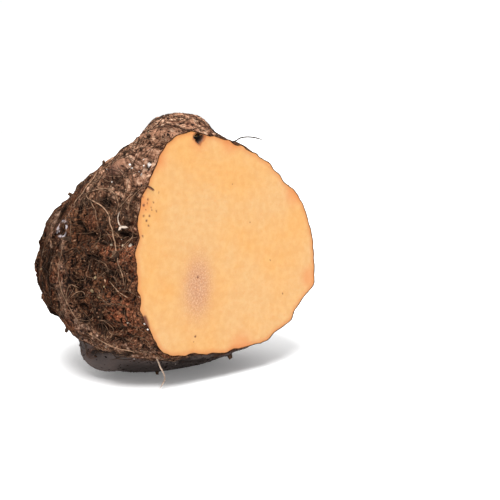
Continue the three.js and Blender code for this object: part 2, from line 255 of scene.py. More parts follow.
# Pale flakes and tan dots; the whitest, high on the left by the cut, are painted highlights of glints
PALE_BITS_AND_GLINTS = [  # x, y, z, size and tone
    (-69.6, -53.4, 166.9, 1.3, 0.8), (-62.4, -66.6, 167.2, 1.6, 0.9), (-67.6, -64.7, 160.2, 0.9, 0.8),
    (-78.2, -43.4, 154.7, 0.7, 0.8), (-69.9, -56.2, 164.5, 0.8, 0.7), (-68.3, -62.1, 162.3, 0.6, 0.7),
    (-64.9, -63.6, 166.4, 0.6, 0.8), (-63.5, -62, 170, 0.5, 0.7), (-86.7, -53, 111, 1.1, 0.4),
    (-83.1, -61.8, 111, 1.2, 0.4), (-80.8, -67.4, 111.3, 1.4, 0.55), (-79.8, -60.6, 54.2, 1.0, 0.5),
    (-88.4, 32.7, 72.6, 1.0, 0.6), (-65.4, -20.9, 161.7, 0.9, 0.7), (-70.5, -71, 56, 1.0, 0.8),
    (-68.5, -72, 51, 0.9, 0.8), (-92.5, -39.2, 87.1, 1.3, 0.3), (-92.6, -36.5, 76.8, 1.3, 0.3),
    (-89.9, -41.1, 72.1, 1.0, 0.3), (-89, -46.4, 80.6, 0.9, 0.3),
]
LOOSE_BITS = 50

# Stage: the key light, the room's brightness behind the camera and overhead, and the floor's own glow
KEY_FROM = (-46, 54)
KEY_ANGLE = 24
KEY_STRENGTH = 3.6
ROOM_DIMMEST = 0.55
ROOM_OVERHEAD = 1.35
ROOM_WHITE = 1.02
FLOOR_GLOW = 0.14
FLOOR_HALF = 6  # metres
FLOOR_CORNERS = [(-1, -1), (1, -1), (1, 1), (-1, 1)]

SEED = 11


def crown_axes():
    """Unit vectors: up the crown, to its side and to its back."""
    lean_side, lean_front = math.radians(LEAN_SIDE), math.radians(LEAN_FRONT)
    crown = np.array([-math.sin(lean_side), -math.sin(lean_front), math.cos(lean_side)])
    crown /= np.linalg.norm(crown)
    side = np.cross([0, 1, 0], crown)
    side /= np.linalg.norm(side)
    return crown, side, np.cross(crown, side)


CROWN, SIDE, BACK = crown_axes()


def crown_place(points):
    """Angle of each point from the crown, and round it, in radians."""
    from_centre = points - BODY_CENTRE
    distance = np.linalg.norm(from_centre, axis=1)
    from_crown = np.arccos(np.clip(from_centre @ CROWN / distance, -1, 1))
    return from_crown, np.arctan2(from_centre @ BACK, from_centre @ SIDE)


def unit(vectors):
    return vectors / np.linalg.norm(vectors, axis=-1, keepdims=True)


def between(ends, share):
    return ends[0] + (ends[1] - ends[0]) * share


def smoothstep(values, low, high):
    share = np.clip((values - low) / (high - low), 0, 1)
    return share * share * (3 - 2 * share)


# Noise

CORNERS = [(i, j, k) for i in (0, 1) for j in (0, 1) for k in (0, 1)]
AROUND = [(i, j, k) for i in (-1, 0, 1) for j in (-1, 0, 1) for k in (-1, 0, 1)]


def scattered(cells, seed):
    """Three numbers from 0 to 1 for each whole-number place, the same on every run."""
    x, y, z = (cells[..., axis].astype(np.int64).astype(np.uint32) for axis in range(3))
    mixed = x * np.uint32(73856093) ^ y * np.uint32(19349663) ^ z * np.uint32(83492791)
    mixed ^= np.uint32(seed * 40503)
    for _ in range(2):
        mixed = (mixed ^ (mixed >> np.uint32(16))) * np.uint32(73244475)
    mixed ^= mixed >> np.uint32(16)
    return np.stack([(mixed >> np.uint32(shift)) & np.uint32(1023) for shift in (0, 10, 20)], -1) / 1023


def plain_noise(points, seed):
    cells = np.floor(points)
    part = points - cells
    fade = part * part * (3 - 2 * part)
    total = np.zeros(len(points))
    for corner in CORNERS:
        slope = scattered(cells + corner, seed) * 2 - 1
        share = np.prod(np.where(np.array(corner) == 1, fade, 1 - fade), axis=1)
        total += share * np.sum(slope * (part - corner), axis=1)
    return 1.6 * total


def soft_noise(points, length, octaves, seed):
    """Soft noise, about -1 to 1, with lumps of the given length."""
    total = np.zeros(len(points))
    for octave in range(octaves):
        total += plain_noise(points * 2 ** octave / length, seed + 31 * octave) * 0.55 ** octave
    return total


def warped(points, length, size, seed):
    """The points, each moved by up to about the given size."""
    return points + size * np.stack([soft_noise(points, length, 2, seed + axis) for axis in range(3)], 1)


def cells_between(points, length, seed):
    """0 on the seams between cells about the given length across, rising to the middle of each."""
    scaled = points / length
    cells = np.floor(scaled)
    nearest = np.full(len(points), 9.0)
    second = np.full(len(points), 9.0)
    for step in AROUND:
        cell = cells + step
        away = np.linalg.norm(cell + scattered(cell, seed) - scaled, axis=1)
        second = np.minimum(second, np.maximum(nearest, away))
        nearest = np.minimum(nearest, away)
    return second - nearest


def terraces(values):
    """The values as steps with short steep rises between."""
    whole = np.floor(values)
    return whole + smoothstep(values - whole, 0.0, 0.3)


def along_rings(points, across, along):
    """A place for noise that is stretched along the growth rings."""
    from_crown, turn = crown_place(points)
    flat = BODY_RADIUS / along * np.sin(from_crown)
    return np.stack([from_crown * BODY_RADIUS / across, flat * np.cos(turn), flat * np.sin(turn)], 1)


def path_place(points, path):
    """How far each point is from a path of straight stretches, and how far along the path."""
    path = np.array(path, float)
    if len(path) == 1:
        return np.linalg.norm(points - path[0], axis=1), np.zeros(len(points))
    nearest = np.full(len(points), np.inf)
    along = np.zeros(len(points))
    before = 0
    for start, end in zip(path, path[1:]):
        stretch = end - start
        share = np.clip((points - start) @ stretch / (stretch @ stretch), 0, 1)
        away = np.linalg.norm(points - start - share[:, None] * stretch, axis=1)
        along = np.where(away < nearest, before + share * np.linalg.norm(stretch), along)
        nearest = np.minimum(nearest, away)
        before += np.linalg.norm(stretch)
    return nearest, along


def path_distance(points, path):
    return path_place(points, path)[0]


def strands(points, bud):
    """Fine strands, about -1 to 1: along the outer ridge, level on the bud, round the crown elsewhere."""
    bent = warped(points, 16, 2.5, 61)
    round_crown = soft_noise(along_rings(bent, 2.6, 15), 1, 3, 64)
    away, along = path_place(bent, OUTER_RIDGE)
    outward = np.sign(bent @ np.array([-0.5, 0.85, 0]) - 42)
    by_ridge = soft_noise(np.stack([away * outward / 2.6, along / 22, 0.2 * outward], 1), 1, 3, 65)
    on_level = soft_noise(bent * (0.09, 0.09, 0.42), 1, 3, 66)
    near = 1 - smoothstep(away, 16, 32)
    return (by_ridge * near + round_crown * (1 - near)) * (1 - bud) + 0.6 * on_level * bud


# Meshes

def ring_directions(ring_count):
    """Directions in rings from straight back to the rim of the cut: one, then 6, 12, 18 and so on."""
    rings = [np.array([[0.0, 1.0, 0.0]])]
    for k in range(1, ring_count + 1):
        depth = math.pi / 2 * (1 - k / ring_count)
        turn = 2 * math.pi * np.arange(6 * k) / (6 * k)
        flat = math.cos(depth)
        level = np.full(6 * k, math.sin(depth))
        rings.append(np.stack([flat * np.cos(turn), level, flat * np.sin(turn)], 1))
    return rings


def stitch(rings):
    """Triangles between each ring of points and the next, numbered through all the rings."""
    faces = []
    start = 0
    for near, far in zip(rings, rings[1:]):
        near_count, far_count = len(near), len(far)
        far_start = start + near_count
        near_steps = near_count if near_count > 1 else 0
        far_steps = far_count if far_count > 1 else 0
        i = j = 0
        while i < near_steps or j < far_steps:
            a = far_start + j % far_count
            b = start + i % near_count
            if i >= near_steps or (j < far_steps and (j + 1) * near_steps <= (i + 1) * far_steps):
                j += 1
                faces.append((a, b, far_start + j % far_count))
            else:
                i += 1
                faces.append((a, b, start + i % near_count))
        start = far_start
    return np.array(faces)


def split_like(values, rings):
    """The values, one for each point, as a list with a piece for each ring."""
    return np.split(values, np.cumsum([len(ring) for ring in rings])[:-1])


def vertex_normals(points, faces):
    a, b, c = (points[faces[:, i]] for i in range(3))
    flat = np.cross(b - a, c - a)
    normals = np.zeros_like(points)
    for i in range(3):
        for axis in range(3):
            normals[:, axis] += np.bincount(faces[:, i], flat[:, axis], len(points))
    return unit(normals)


def smoothed(values, faces, rounds):
    """Each value drawn towards the mean of its neighbours', a number of times over."""
    ends = np.concatenate([faces[:, [0, 1]], faces[:, [1, 2]], faces[:, [2, 0]]])
    count = np.bincount(ends[:, 0], minlength=len(values)) + np.bincount(ends[:, 1], minlength=len(values))
    for _ in range(rounds):
        total = np.bincount(ends[:, 0], values[ends[:, 1]], len(values))
        total += np.bincount(ends[:, 1], values[ends[:, 0]], len(values))
        values = 0.5 * values + 0.5 * total / count
    return values


def add_object(name, data):
    thing = bpy.data.objects.new(name, data)
    bpy.context.scene.collection.objects.link(thing)
    return thing


def add_mesh(name, points, faces, material, slot, **attributes):
    """A piece of the object that rides on it, from points in millimetres, with a number for each point."""
    mesh = bpy.data.meshes.new(name)
    mesh.from_pydata((points * MM).tolist(), [], faces.tolist() if isinstance(faces, np.ndarray) else faces)
    mesh.materials.append(material)
    mesh.shade_smooth()
    for key, values in attributes.items():
        mesh.attributes.new(key, "FLOAT", "POINT").data.foreach_set("value", np.asarray(values, np.float32))
    piece = add_object(name, mesh)
    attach(piece, "root")
    return piece


# The form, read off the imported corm

def corm_tree():
    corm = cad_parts["corm"].data
    vertices = [v.co / MM for v in corm.vertices]
    return BVHTree.FromPolygons(vertices, [p.vertices for p in corm.polygons])


def ray_origin():
    return np.array([RAY_FROM[0], CUT_Y + RAY_BEHIND_CUT, RAY_FROM[1]])


def cast(tree, rings):
    """How far the corm's skin is from the point that the rings are seen from, with the rot hole bridged."""
    origin = Vector(ray_origin())
    reach = [np.array([tree.ray_cast(origin, Vector(d))[3] for d in ring]) for ring in rings]
    for ring, values in list(zip(rings, reach))[-len(rings) * HOLE_GAP_RINGS // SKIN_RINGS:]:
        turn = np.degrees(np.arctan2(ring[:, 2], ring[:, 0]))
        gap = (turn > HOLE_GAP[0]) & (turn < HOLE_GAP[1])
        if gap.any():
            order = np.argsort(turn[~gap])
            values[gap] = np.interp(turn[gap], turn[~gap][order], values[~gap][order])
    return np.concatenate(reach)


def from_bud(points):
    """How far each point is from the middle of the bud, in shares of its radii."""
    return np.linalg.norm((points - BUD_CENTRE) / BUD_RADII, axis=-1)


def on_bud(points):
    """1 on the bud, falling to 0 a little way off it."""
    return 1 - smoothstep(from_bud(points), *BUD_EDGE)


def bud_crease(points):
    """1 in the crease round the bud's foot."""
    return np.exp(-((from_bud(points) - CREASE[0]) / CREASE[1]) ** 2)


def mark_share(points, key):
    """How strongly the marks of one kind show at each point."""
    share = np.zeros(len(points))
    for mark in MARKS:
        if key in mark:
            away = path_distance(points, mark["path"]) / mark["width"]
            share = np.maximum(share, mark[key] * np.exp(-away ** 2))
    return share


def scar_ring(points):
    """1 on the waxy ring of the old scar."""
    away = path_distance(warped(points, 5, 0.5, 71), SCAR_RING) / SCAR_WIDTH
    worn = 0.9 + 0.5 * soft_noise(points, 3.5, 2, 74)
    return np.clip(worn, 0, 1) * np.exp(-away ** 2)


def skin_relief(points, calm):
    """How far the bark's fine relief lifts each point, in millimetres: less where the skin is calm."""
    bent = warped(points, 18, 4, 1)
    lumps = 1.4 * soft_noise(bent, 20, 2, 4)
    knobs = 1.1 * soft_noise(bent, 8, 2, 11)
    seams = np.abs(soft_noise(bent, 16, 3, 5))
    creases = -1.2 * (1 - smoothstep(seams, 0, 0.12))
    pits = -2.4 * smoothstep(soft_noise(bent, 15, 2, 6), 0.2, 0.5)
    flakes = 0.3 * terraces(3.2 * soft_noise(along_rings(bent, 8, 13), 1, 3, 7))
    plates = 0.3 * smoothstep(cells_between(bent, 4, 9), 0, 0.25)
    scurf = 0.5 * soft_noise(points, 2.4, 3, 10)
    return lumps * (1 - 0.7 * calm) + (knobs + creases + pits + flakes + plates) * (1 - calm) + scurf


def bud_relief(points):
    """The bud's rough scales."""
    return 0.7 * soft_noise(points, 7, 2, 42) + 0.45 * soft_noise(points, 2.6, 2, 43) - 0.3


def marks_lift(points):
    lift = -1.3 * bud_crease(points) + 0.4 * scar_ring(points)
    for mark in MARKS:
        lift += mark["lift"] * np.exp(-(path_distance(points, mark["path"]) / mark["width"]) ** 2)
    return lift


def make_skin(tree):
    """The bark: a closed shell, fine outside, that ends in a thin lip at the cut."""
    rings = ring_directions(SKIN_RINGS)
    faces = stitch(rings)
    reach = smoothed(cast(tree, rings), faces, SMOOTH_ROUNDS)
    base = ray_origin() + np.concatenate(rings) * reach[:, None]
    normals = vertex_normals(base, faces)
    rim_count = 6 * SKIN_RINGS
    normals[-rim_count:, 1] = 0
    normals[-rim_count:] = unit(normals[-rim_count:])

    bud = on_bud(base)
    plum = mark_share(base, "plum")
    pale = mark_share(base, "pale")
    upper = smoothstep(-crown_place(base)[0], -UPPER[0], -UPPER[1])
    # under: the underside, made smoother and painted a dull grey shade
    under = 1 - smoothstep(base[:, 2] + 5 * soft_noise(base, 30, 2, 51), *UNDERSIDE)
    under = np.maximum(under, mark_share(base, "under")) * (1 - pale)
    calm = np.maximum(np.maximum(0.8 * upper, 0.85 * plum), np.maximum(0.6 * pale, 0.95 * under))
    calm = np.maximum(calm, mark_share(base, "calm"))
    strand = strands(base, bud)
    lift = skin_relief(base, calm) * (1 - bud) * (1 - 0.7 * plum) * (1 - 0.6 * under)
    lift += bud_relief(base) * bud + marks_lift(base)
    lift += 0.45 * strand * np.maximum(np.maximum(upper, pale), bud) * (1 - plum)
    behind = base[:, 1] - CUT_Y
    lift *= between((RELIEF_AT_CUT, 1), smoothstep(behind, 0, CUT_FADE))
    low = smoothstep(base[:, 0], 0, 20) * (1 - smoothstep(behind, 0.6 * BEHIND_RIM, BEHIND_RIM))
    lift = lift * (1 - 0.93 * low) - 0.5 * low * smoothstep(behind, 0, 6)
    lift *= smoothstep(base[:, 2], 0.3, 6)
    outside = base + normals * lift[:, None]
    outside[:, 2] = np.maximum(outside[:, 2], 0.02)

    outer = split_like(outside, rings)
    rim_points = outer[-1]
    inward = -normals[-rim_count:]
    ragged = soft_noise(rim_points, 4, 2, 21)
    thickness = between(BARK_AT_CUT, smoothstep(rim_points[:, 0], -40, 10))
    edge = rim_points.copy()
    edge[:, 1] = CUT_Y - 0.15 + 0.2 * ragged
    lip = edge + inward * (thickness * (1 + 0.45 * ragged))[:, None]
    sunk = rim_points + inward * (1.3 * thickness)[:, None]
    sunk[:, 1] = CUT_Y + 1.5
    shell = outer + [edge, lip, sunk] + inner_dome(tree, BARK_THICKNESS)[::-1]
    inside = sum(len(ring) for ring in shell[len(outer):])
    looks = {
        # Painted shade: how far each point lies below the smoothed skin, used to darken its hollows
        "hollow": lift - smoothed(lift, faces, 10),
        "deep": lift - smoothed(lift, faces, 90),
        "bud": bud,
        "upper": upper,
        "calm": np.maximum(calm, 0.8 * bud),
        "strand": strand,
        "pale": pale,
        # dark: the dark marks, and painted shade in the crease round the bud's foot
        "dark": np.maximum(mark_share(outside, "dark"), 0.9 * bud_crease(base) * (1 - pale)),
        "plum": plum,
        "blush": mark_share(outside, "blush"),
        "rust": mark_share(outside, "rust"),
        "under": under,
        "wax": scar_ring(outside),
    }
    for key, values in looks.items():
        looks[key] = np.append(values, np.full(inside, INSIDE_DARK if key == "dark" else 0))
    piece = add_mesh("corm_skin", np.concatenate(shell), stitch(shell), bark_material(), "bark", **looks)
    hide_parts("corm")
    skin = {"points": outside, "normals": vertex_normals(outside, faces), "faces": faces}
    skin["tree"] = BVHTree.FromPolygons(outside.tolist(), faces.tolist())
    return skin, rim_points, inward


def inner_dome(tree, sink):
    """Coarse rings under the skin, from the back point to a little behind the cut."""
    rings = ring_directions(INNER_RINGS)
    faces = stitch(rings)
    reach = smoothed(cast(tree, rings), faces, 2) - sink
    points = ray_origin() + np.concatenate(rings) * reach[:, None]
    points[:, 1] += 4
    points[:, 2] = np.maximum(points[:, 2], sink)
    return split_like(points, rings)


# The cut face

def face_rings_of(rim_points, inward):
    """Rings of points on the cut, from just under the bark's lip to the middle."""
    outline = rim_points + inward * FLESH_UNDER_BARK
    middle = np.array([RAY_FROM[0], CUT_Y, RAY_FROM[1]])
    spokes = outline[:, [0, 2]] - middle[[0, 2]]
    turns = np.unwrap(np.arctan2(spokes[:, 1], spokes[:, 0]))
    lengths = np.linalg.norm(spokes, axis=1)
    order = np.argsort(turns)
    rings = []
    for k in range(FACE_RINGS, 0, -1):
        turn = 2 * math.pi * np.arange(6 * k) / (6 * k)
        length = np.interp(turn, turns[order], lengths[order], period=2 * math.pi) * k / FACE_RINGS
        rings.append(np.stack([
            middle[0] + length * np.cos(turn), np.full(6 * k, CUT_Y), middle[2] + length * np.sin(turn),
        ], 1))
    return rings + [middle[None]]


def speck_share(face):
    """1 on the dark specks and the cracks."""
    share = np.zeros(len(face))
    for x, z, radius in SPECKS:
        away = np.hypot(face[:, 0] - x, face[:, 2] - z) / radius
        share = np.maximum(share, 1 - smoothstep(away, 0.6, 1.4))
    for width, path in CRACKS:
        away = path_distance(face, [(x, CUT_Y, z) for x, z in path]) / width
        share = np.maximum(share, 1 - smoothstep(away, 0.5, 1.5))
    return share


def make_flesh(tree, rim_points, inward):
    """The flesh: a closed body with the smooth cut face, which tucks in under the bark's lip."""
    rings = face_rings_of(rim_points, inward)
    face = np.concatenate(rings)
    face[:, 1] = CUT_Y
    from_rim = path_distance(face, np.vstack([rings[0][::6], rings[0][:1]]))
    across, upward = (np.abs(face[:, axis] - HOLE_AT[i]) / HOLE_SIZE[i] for i, axis in enumerate((0, 2)))
    hole = (across ** HOLE_POWER + upward ** HOLE_POWER) ** (1 / HOLE_POWER)
    hole += 0.2 * soft_noise(face, 3, 2, 31)
    speck = speck_share(face)
    bruise = np.hypot(*((face[:, axis] - BRUISE_AT[i]) / BRUISE_SIZE[i] for i, axis in enumerate((0, 2))))
    stain = np.zeros(len(face))
    for x, z, radius in STAINS:
        stain = np.maximum(stain, np.exp(-((face[:, 0] - x) ** 2 + (face[:, 2] - z) ** 2) / radius ** 2))
    knife = np.sin((face[:, 2] + 12 * np.sin((face[:, 0] - 20) / 45)) * 1.25)
    knife *= smoothstep(soft_noise(face, 50, 1, 34), 0, 0.5)
    grooves = soft_noise(face * (0.15, 1, 1.0), 2.5, 2, 33)
    waves = 0.22 * soft_noise(face, 40, 2, 32) + 0.05 * grooves + 0.05 * knife
    face[:, 1] += waves * smoothstep(from_rim, 0, 6) + 0.12
    face[:, 1] += 0.4 * speck + HOLE_DEPTH * np.sqrt(np.clip(1 - hole, 0, 1))
    inner = inner_dome(tree, BARK_THICKNESS + FLESH_GAP)
    body = inner + split_like(face, rings)
    under = sum(len(ring) for ring in inner)

    def with_under(values, rest=0.0):
        return np.concatenate([np.full(under, rest), values])

    add_mesh(
        "corm_flesh", np.concatenate(body), stitch(body), flesh_material(), "flesh",
        from_rim=with_under(from_rim, 99),
        rot=with_under(1 - smoothstep(hole, 0.85, 1.15)),
        rot_edge=with_under(1 - smoothstep(hole, 1.0, 1.6)),
        speck=with_under(speck),
        stain=with_under(stain),
        bruise=with_under(np.exp(-bruise ** 2)),
    )


# Rootlets, stubs and scurf

def snap(skin, points, height):
    """The points, each moved to the given height over the nearest skin, and the skin's normals there."""
    found = [skin["tree"].find_nearest(Vector(point)) for point in points]
    normals = np.array([normal for _, normal, _, _ in found])
    return np.array([place for place, _, _, _ in found]) + normals * height, normals


def random_places(skin, count):
    return dice.choice(len(skin["points"]), count, replace=False)


def smooth_path(path, per_stretch):
    """A Catmull-Rom curve through the points of a path."""
    path = np.array(path, float)
    padded = np.vstack([2 * path[0] - path[1], path, 2 * path[-1] - path[-2]])
    curve = []
    for a, b, c, d in zip(padded, padded[1:], padded[2:], padded[3:]):
        for t in np.arange(per_stretch) / per_stretch:
            twist = 2 * a - 5 * b + 4 * c - d
            curve.append(0.5 * (2 * b + (c - a) * t + twist * t ** 2 + (3 * (b - c) + d - a) * t ** 3))
    return np.array(curve + [path[-1]])


def tube(path, normals, radius, start):
    """Points and faces of a closed tube that tapers to its two tips, numbered from start."""
    count = len(path)
    along = unit(np.gradient(path, axis=0))
    across = unit(np.cross(along, normals))
    up = np.cross(across, along)
    taper = np.minimum(1, np.linspace(0.6, 6, count)) * np.minimum(1, np.linspace(5, 0.35, count))
    turn = 2 * math.pi * np.arange(TUBE_SIDES) / TUBE_SIDES
    out = up[:, None] * np.cos(turn)[None, :, None] + across[:, None] * np.sin(turn)[None, :, None]
    rings = path[:, None] + out * (radius * taper)[:, None, None]
    tips = path[:1] - along[:1] * radius, path[-1:] + along[-1:] * radius
    points = np.vstack([rings.reshape(-1, 3), *tips])
    i, j = np.meshgrid(np.arange(count - 1), np.arange(TUBE_SIDES), indexing="ij")
    here, beside = i * TUBE_SIDES + j, i * TUBE_SIDES + (j + 1) % TUBE_SIDES
    faces = np.stack([here, beside, beside + TUBE_SIDES, here + TUBE_SIDES], -1).reshape(-1, 4) + start
    first, last = start + count * TUBE_SIDES, start + count * TUBE_SIDES + 1
    ends = []
    for j in range(TUBE_SIDES):
        k = (j + 1) % TUBE_SIDES
        ends.append((start + k, start + j, first))
        ends.append((start + (count - 1) * TUBE_SIDES + j, start + (count - 1) * TUBE_SIDES + k, last))
    return points, faces.tolist() + ends


def add_tubes(name, tubes, material):
    """One piece of many tubes: each has a path, normals, a radius and a tone from dark to pale."""
    points, faces, tones = [], [], []
    start = 0
    for path, normals, radius, tone in tubes:
        ring_points, ring_faces = tube(path, normals, radius, start)
        points.append(ring_points)
        faces += ring_faces
        tones.append(np.full(len(ring_points), tone))
        start += len(ring_points)
    add_mesh(name, np.vstack(points), faces, material, "bark", tone=np.concatenate(tones))


def shown_rootlets(skin):
    tubes = []
    for radius, tone, path in ROOTLETS:
        path = smooth_path(path, 4)
        path += SHOWN_WOBBLE * (dice.random(path.shape) - 0.5)
        path, normals = bridged(*snap(skin, path, SHOWN_HEIGHT), radius)
        tubes.append((path, normals, radius, tone))
    for radius, tone, path in FREE_ROOTLETS:
        path = smooth_path(path, 5)
        tubes.append((path, np.tile([0.3, -0.9, 0.3], (len(path), 1)), radius, tone))
    return tubes


def eased(path, rounds):
    """The path with its kinks drawn out."""
    path = path.copy()
    for _ in range(rounds):
        path[1:-1] = 0.5 * path[1:-1] + 0.25 * (path[:-2] + path[2:])
    return path


def bridged(path, normals, radius):
    """The path of a rootlet of the given radius laid over the skin, drawn straight over small hollows."""
    up = unit(eased(normals, 3))
    over = eased(path, 3)
    below = np.maximum(0, np.sum((path - over) * up, axis=1))
    return over + up * (below + 0.7 * radius)[:, None], up


def crawling_rootlets(skin, count, steps, wander, radii, tones):
    """Rootlets that crawl over the skin, each from a random place, and bridge its small hollows."""
    starts = random_places(skin, count)
    places, normals = skin["points"][starts], skin["normals"][starts]
    heading = unit(np.cross(normals, dice.normal(size=(count, 3))))
    spin = dice.normal(size=count) * 0.08
    paths, ups = [places], [normals]
    for _ in range(steps):
        spin = 0.8 * spin + dice.normal(size=count) * wander
        side = np.cross(normals, heading)
        heading = heading + side * spin[:, None]
        heading = unit(heading - normals * np.sum(heading * normals, axis=1, keepdims=True))
        places, normals = snap(skin, places + heading * CRAWL_STEP, 0)
        paths.append(places)
        ups.append(normals)
    tubes = []
    for path, up in zip(np.stack(paths, 1), np.stack(ups, 1)):
        if np.min(path[:, 1]) < CUT_Y + 1.5 or np.min(path[:, 2]) < BARE_BELOW:
            continue
        radius = between(radii, dice.random() ** 2)
        path, up = bridged(path, up, radius)
        tone = between(tones, dice.random() ** 1.5)
        # Darker on the underside, with its painted shade
        tone *= 0.4 + 0.6 * smoothstep(path[0, 2], *UNDERSIDE)
        tubes.append((path, up, radius, tone))
    return tubes


def make_rootlets(skin):
    material = tone_material("rootlet")
    add_tubes("rootlets_shown", shown_rootlets(skin), material)
    add_tubes("rootlets_long", crawling_rootlets(skin, *LONG_ROOTLETS), material)
    for index in range(MAT_PIECES):
        add_tubes(f"rootlets_mat_{index + 1}", crawling_rootlets(skin, *MAT_ROOTLETS), material)


def solid_stub_places(tree):
    """Where the solid's own stubs stand, with their sizes, by the same draws."""
    state = STUB_SEED

    def draw():
        nonlocal state
        state = (state * 1664525 + 1013904223) % 2 ** 32
        return state / 2 ** 32

    stubs = []
    for i in range(SOLID_STUBS):
        depth = STUB_LEAST_DEPTH + (1 - STUB_LEAST_DEPTH) * (i + draw()) / SOLID_STUBS
        turn = i * math.pi * (3 - math.sqrt(5)) + 0.8 * draw()
        flat = math.sqrt(1 - depth * depth)
        direction = Vector((flat * math.cos(turn), depth, flat * math.sin(turn)))
        place = tree.ray_cast(Vector((RAY_FROM[0], CUT_Y + 0.01, RAY_FROM[1])), direction)[0]
        if from_bud(np.array(place)) > STUB_FROM_BUD:
            length = between(STUB_LENGTH, draw())
            radius = between(STUB_RADIUS, draw())
            draw()
            stubs.append((np.array(place), length, radius))
    return stubs


def make_stubs(tree, skin):
    """Short cut-off roots, ringed and a little bent, each with a dark collar."""
    stubs = solid_stub_places(tree) + SHOWN_STUBS
    for index in random_places(skin, FINE_STUBS):
        place = skin["points"][index]
        rough = mark_share(place[None], "calm")[0] < 0.3 and on_bud(place[None])[0] == 0
        if rough and place[1] > CUT_Y + 14 and place[2] > 24:
            stubs.append((place, 1 + 3 * dice.random(), 0.7 + 0.9 * dice.random()))
    sides = 10
    turn = 2 * math.pi * np.arange(sides) / sides
    points, faces, tones = [], [], []
    start = 0
    for place, length, radius in stubs:
        root, normal = (row[0] for row in snap(skin, [place], 0))
        growth = unit(unit(root - BODY_CENTRE) + normal + (0, 0, -0.2 * dice.random()))
        side = unit(np.cross(growth, (0.3, 0.2, 1)))
        up = np.cross(growth, side)
        bend = 0.25 * dice.normal(size=2)
        profile = [(-2, 1.5), (0, 1.35), (0.25 * length, 1.02), (0.55 * length, 1.0), (0.8 * length, 0.86),
                   (length, 0.8), (1.02 * length, 0.5)]
        rings = []
        for out, share in profile:
            lean = (side * bend[0] + up * bend[1]) * (max(out, 0) / length) ** 2 * length * 0.5
            middle = root + growth * out + lean
            wobble = 1 + 0.1 * np.sin(3 * turn + start) + 0.05 * np.sin(5 * turn + out)
            ring = side * np.cos(turn)[:, None] + up * np.sin(turn)[:, None]
            rings.append(middle + ring * (radius * share * wobble)[:, None])
        rings = [(root - growth * 2)[None]] + rings + [(root + growth * 0.9 * length)[None]]
        points.append(np.vstack(rings))
        faces.append(stitch(rings)[:, ::-1] + start)
        tones.append(np.repeat([0.1, 0.3, 0.45], [1 + 2 * sides, 3 * sides, 2 * sides + 1]))
        start += len(points[-1])
    points, faces, tones = np.vstack(points), np.vstack(faces), np.concatenate(tones)
    add_mesh("root_stubs", points, faces, tone_material("rootlet"), "bark", tone=tones)


def add_scraps(name, places, normals, sizes, tones, material, flatness, tilt):
    """One piece of many small lumps, each a six-sided plate with a low point over and under it."""
    count = len(places)
    leaning = unit(normals + tilt * dice.normal(size=(count, 3)))
    side = unit(np.cross(leaning, dice.normal(size=(count, 3))))
    up = np.cross(leaning, side)
    turn = np.arange(6) * math.pi / 3
    out = sizes[:, None] * (0.65 + 0.6 * dice.random((count, 6)))
    long_way = 1 + 0.6 * dice.random(count)
    rim = (
        places[:, None]
        + side[:, None] * (out * np.cos(turn) * long_way[:, None])[..., None]
        + up[:, None] * (out * np.sin(turn))[..., None]
    )
    thick = leaning * (sizes * flatness)[:, None]
    points = np.concatenate([rim, (places + thick)[:, None], (places - thick)[:, None]], 1)
    plate = []
    for j in range(6):
        plate += [(j, (j + 1) % 6, 6), ((j + 1) % 6, j, 7)]
    faces = (np.array(plate)[None] + 8 * np.arange(count)[:, None, None]).reshape(-1, 3)
    add_mesh(name, points.reshape(-1, 3), faces, material, "bark", tone=np.repeat(tones, 8))


def make_scurf(skin):
    chosen = random_places(skin, FLAKE_COUNT)
    places, normals = skin["points"][chosen], skin["normals"][chosen]
    keep = (places[:, 1] > CUT_Y + 0.8) & (places[:, 2] > 2.5)
    places, normals = places[keep], normals[keep]
    sizes = between(FLAKE_SIZE, dice.random(len(places)) ** 2)
    tones = dice.random(len(places)) ** 1.3
    # Darker on the underside, with its painted shade
    tones *= 1 - 0.7 * (1 - smoothstep(places[:, 2], *UNDERSIDE))
    add_scraps("scurf", places, normals, sizes, tones, tone_material("scurf"), 0.3, 0.2)

    shown = np.array(PALE_BITS_AND_GLINTS)
    loose = skin["points"][random_places(skin, LOOSE_BITS)]
    loose = loose[(loose[:, 1] > CUT_Y + 3) & (loose[:, 2] > 4)]
    places, normals = snap(skin, np.vstack([shown[:, :3], loose]), 0.3)
    sizes = np.concatenate([shown[:, 3], 0.3 + 0.5 * dice.random(len(loose))])
    tones = np.concatenate([shown[:, 4], dice.random(len(loose))])
    add_scraps("pale_bits_and_glints", places, normals, sizes, tones, tone_material("pale_bit_and_glint"), 0.5, 0.3)


# Materials: colours are linear, and a ramp's stops are (place, colour)

BROWNS = [(0.40, (0.006, 0.003, 0.002)), (0.49, (0.032, 0.0135, 0.008)), (0.60, (0.10, 0.042, 0.022))]
# The crown's lighter grey-browns: partly its own colour, partly a painted sheen
CROWN_BROWNS_AND_SHEEN = [
    (0.38, (0.022, 0.010, 0.007)), (0.46, (0.125, 0.056, 0.033)),
    (0.54, (0.28, 0.137, 0.082)), (0.64, (0.50, 0.31, 0.205)),
]
BUD_BROWNS = [
    (0.38, (0.04, 0.016, 0.01)), (0.45, (0.20, 0.09, 0.055)),
    (0.54, (0.41, 0.215, 0.133)), (0.65, (0.64, 0.43, 0.30)),
]
PALE_BROWNS = [(0.38, (0.035, 0.016, 0.011)), (0.48, (0.15, 0.075, 0.048)), (0.62, (0.42, 0.265, 0.19))]
SPECKLE = [
    (0.40, (0.08, 0.07, 0.07)), (0.5, (0.75, 0.75, 0.75)),
    (0.57, (1.6, 1.55, 1.5)), (0.66, (4.2, 4.4, 4.6)),
]
RUST_FLECK = (0.10, 0.028, 0.013)
RUST = (0.185, 0.064, 0.033)
PLUM = (0.08, 0.034, 0.027)
